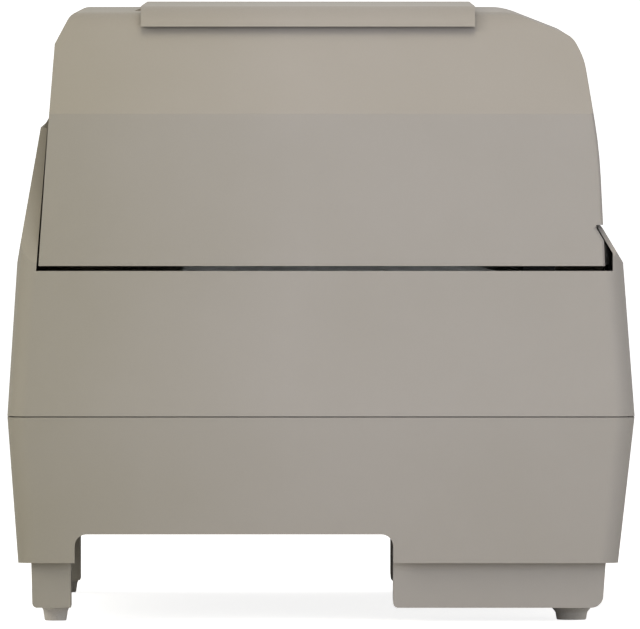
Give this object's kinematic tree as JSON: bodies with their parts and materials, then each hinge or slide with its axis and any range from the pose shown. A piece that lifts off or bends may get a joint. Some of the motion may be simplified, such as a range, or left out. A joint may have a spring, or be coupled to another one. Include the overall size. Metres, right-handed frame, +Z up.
{
  "type": "dot matrix printer",
  "caption": "wide floor or desk dot matrix printer with a hinged top cover, a raised lid, a front door, a carriage, a platen and pin-feed tractors",
  "frame": {"origin": "on the standing surface, under the middle of the casing", "axes": "+X to the right as seen from the front, +Y to the rear, +Z up"},
  "size_m": [0.7, 0.382, 0.375],
  "materials": {
    "case_plastic": "fine spark-textured moulded ABS",
    "smoke_window": "clear smoke acrylic",
    "zinc_steel": "zinc-plated sheet steel",
    "ground_steel": "ground and polished shaft steel",
    "platen_rubber": "ground black rubber",
    "foot_rubber": "moulded rubber",
    "gear_plastic": "moulded acetal",
    "black_plastic": "moulded black plastic",
    "lever_plastic": "moulded blue plastic",
    "motor_steel": "black painted steel",
    "head_metal": "die-cast aluminium",
    "ink_fabric": "inked woven nylon",
    "board": "green laminate",
    "panel_plastic": "moulded dark grey plastic"
  },
  "bodies": {
    "case": {"lower_case": "case_plastic", "upper_case": "case_plastic", "base_pan": "zinc_steel", "left_side_frame": "zinc_steel", "right_side_frame": "zinc_steel", "shaft_bushes": "gear_plastic", "carriage_shaft": "ground_steel", "tractor_guide_shaft": "ground_steel", "front_rail": "zinc_steel", "idler_stud": "ground_steel", "feed_motor": "motor_steel", "drive_belt": "platen_rubber", "carriage_motor": "motor_steel", "front_paper_guide": "zinc_steel", "rear_paper_guide": "zinc_steel", "tear_bar": "ground_steel", "main_board": "board", "power_supply": "zinc_steel", "control_panel": "panel_plastic", "display_window": "smoke_window", "power_inlet": "black_plastic", "interface_sockets": "black_plastic", "front_feet": "foot_rubber", "rear_feet": "foot_rubber", "case_screws": "ground_steel", "cover_hinge_pins": "ground_steel"},
    "cover": {"top_cover": "case_plastic", "cover_window": "smoke_window", "lid_hinge_pins": "ground_steel"},
    "lid": {"top_lid": "case_plastic"},
    "door": {"front_cover": "case_plastic"},
    "platen": {"platen_roller": "platen_rubber", "platen_shaft": "ground_steel", "platen_gear": "gear_plastic"},
    "pinion": {"feed_pinion": "gear_plastic"},
    "idler": {"idler_gear": "gear_plastic"},
    "tractor_drive": {"tractor_shaft": "ground_steel", "tractor_gear": "gear_plastic"},
    "carriage": {"carriage": "head_metal", "print_head": "head_metal"},
    "motor_pulley": {"motor_pulley": "head_metal"},
    "idler_pulley": {"idler_pulley": "head_metal"},
    "cartridge": {"ribbon_cartridge": "black_plastic", "ribbon": "ink_fabric"},
    "ribbon_knob": {"ribbon_knob": "lever_plastic"},
    "rocker": {"power_rocker": "black_plastic"},
    "left_tractor": {"left_tractor_frame": "black_plastic", "left_pin_belt": "black_plastic"},
    "left_sprocket": {"left_sprocket": "gear_plastic"},
    "left_flap": {"left_flap": "black_plastic"},
    "left_lock": {"left_lock_lever": "lever_plastic"},
    "right_tractor": {"right_tractor_frame": "black_plastic", "right_pin_belt": "black_plastic"},
    "right_sprocket": {"right_sprocket": "gear_plastic"},
    "right_flap": {"right_flap": "black_plastic"},
    "right_lock": {"right_lock_lever": "lever_plastic"},
    "pause_button": {"pause_button": "panel_plastic"},
    "line_feed_button": {"line_feed_button": "panel_plastic"},
    "form_feed_button": {"form_feed_button": "panel_plastic"},
    "tear_off_button": {"tear_off_button": "panel_plastic"}
  },
  "joints": [
    {"name": "cover_hinge", "type": "hinge", "parent": "case", "child": "cover", "pos_m": [0, 0.158, 0.306], "axis": [-1, 0, 0], "range_deg": [0, 65]},
    {"name": "lid_hinge", "type": "hinge", "parent": "cover", "child": "lid", "pos_m": [0, 0.119, 0.3635], "axis": [-1, 0, 0], "range_deg": [0, 80]},
    {"name": "door_hinge", "type": "hinge", "parent": "case", "child": "door", "pos_m": [0, -0.18861, 0.1375], "axis": [1, 0, 0], "range_deg": [0, 85]},
    {"name": "platen_turn", "type": "hinge", "parent": "case", "child": "platen", "pos_m": [0, 0.02, 0.235], "axis": [1, 0, 0], "continuous": true},
    {"name": "pinion_turn", "type": "hinge", "parent": "case", "child": "pinion", "pos_m": [0.27, 0.0425, 0.19603], "axis": [1, 0, 0], "continuous": true},
    {"name": "idler_turn", "type": "hinge", "parent": "case", "child": "idler", "pos_m": [0.27, -0.04513, 0.19208], "axis": [1, 0, 0], "continuous": true},
    {"name": "tractor_turn", "type": "hinge", "parent": "case", "child": "tractor_drive", "pos_m": [0, -0.108, 0.172], "axis": [1, 0, 0], "continuous": true},
    {"name": "carriage_slide", "type": "slide", "parent": "case", "child": "carriage", "axis": [1, 0, 0], "range_m": [-0.165, 0.165]},
    {"name": "motor_pulley_turn", "type": "hinge", "parent": "case", "child": "motor_pulley", "pos_m": [-0.236, -0.066, 0.202], "axis": [0, 0, 1], "continuous": true},
    {"name": "idler_pulley_turn", "type": "hinge", "parent": "case", "child": "idler_pulley", "pos_m": [0.236, -0.066, 0.202], "axis": [0, 0, 1], "continuous": true},
    {"name": "cartridge_lift", "type": "slide", "parent": "case", "child": "cartridge", "axis": [0, 0, 1], "range_m": [0, 0.03]},
    {"name": "ribbon_knob_turn", "type": "hinge", "parent": "cartridge", "child": "ribbon_knob", "pos_m": [0.2, -0.133, 0.243], "axis": [0, 0, 1], "continuous": true},
    {"name": "rocker_tilt", "type": "hinge", "parent": "case", "child": "rocker", "pos_m": [0.3, -0.184, 0.092], "axis": [1, 0, 0], "range_deg": [0, 14]},
    {"name": "left_tractor_slide", "type": "slide", "parent": "case", "child": "left_tractor", "axis": [1, 0, 0], "range_m": [0, 0.06]},
    {"name": "left_sprocket_turn", "type": "hinge", "parent": "left_tractor", "child": "left_sprocket", "pos_m": [-0.15, -0.108, 0.172], "axis": [1, 0, 0], "continuous": true},
    {"name": "left_flap_hinge", "type": "hinge", "parent": "left_tractor", "child": "left_flap", "pos_m": [-0.1614, -0.127, 0.18683], "axis": [0, -1, 0], "range_deg": [0, 85]},
    {"name": "left_lock_turn", "type": "hinge", "parent": "left_tractor", "child": "left_lock", "pos_m": [-0.165, -0.134, 0.172], "axis": [1, 0, 0], "range_deg": [0, 45]},
    {"name": "right_tractor_slide", "type": "slide", "parent": "case", "child": "right_tractor", "axis": [-1, 0, 0], "range_m": [0, 0.06]},
    {"name": "right_sprocket_turn", "type": "hinge", "parent": "right_tractor", "child": "right_sprocket", "pos_m": [0.15, -0.108, 0.172], "axis": [1, 0, 0], "continuous": true},
    {"name": "right_flap_hinge", "type": "hinge", "parent": "right_tractor", "child": "right_flap", "pos_m": [0.1614, -0.127, 0.18683], "axis": [0, 1, 0], "range_deg": [0, 85]},
    {"name": "right_lock_turn", "type": "hinge", "parent": "right_tractor", "child": "right_lock", "pos_m": [0.165, -0.134, 0.172], "axis": [1, 0, 0], "range_deg": [0, 45]},
    {"name": "pause_button_press", "type": "slide", "parent": "case", "child": "pause_button", "axis": [0, 0.9972, -0.0747], "range_m": [0, 0.0012], "stiffness_N_per_m": 400},
    {"name": "line_feed_button_press", "type": "slide", "parent": "case", "child": "line_feed_button", "axis": [0, 0.9972, -0.0747], "range_m": [0, 0.0012], "stiffness_N_per_m": 400},
    {"name": "form_feed_button_press", "type": "slide", "parent": "case", "child": "form_feed_button", "axis": [0, 0.9972, -0.0747], "range_m": [0, 0.0012], "stiffness_N_per_m": 400},
    {"name": "tear_off_button_press", "type": "slide", "parent": "case", "child": "tear_off_button", "axis": [0, 0.9972, -0.0747], "range_m": [0, 0.0012], "stiffness_N_per_m": 400}
  ],
  "couplings": [
    {"joint": "pinion_turn", "follows": "platen_turn", "ratio": -4},
    {"joint": "idler_turn", "follows": "platen_turn", "ratio": -0.85714},
    {"joint": "tractor_turn", "follows": "platen_turn", "ratio": 1.5},
    {"joint": "motor_pulley_turn", "follows": "carriage_slide", "rad_per_m": 112.36},
    {"joint": "idler_pulley_turn", "follows": "carriage_slide", "rad_per_m": 112.36},
    {"joint": "left_sprocket_turn", "follows": "platen_turn", "ratio": 1.5},
    {"joint": "right_sprocket_turn", "follows": "platen_turn", "ratio": 1.5}
  ]
}
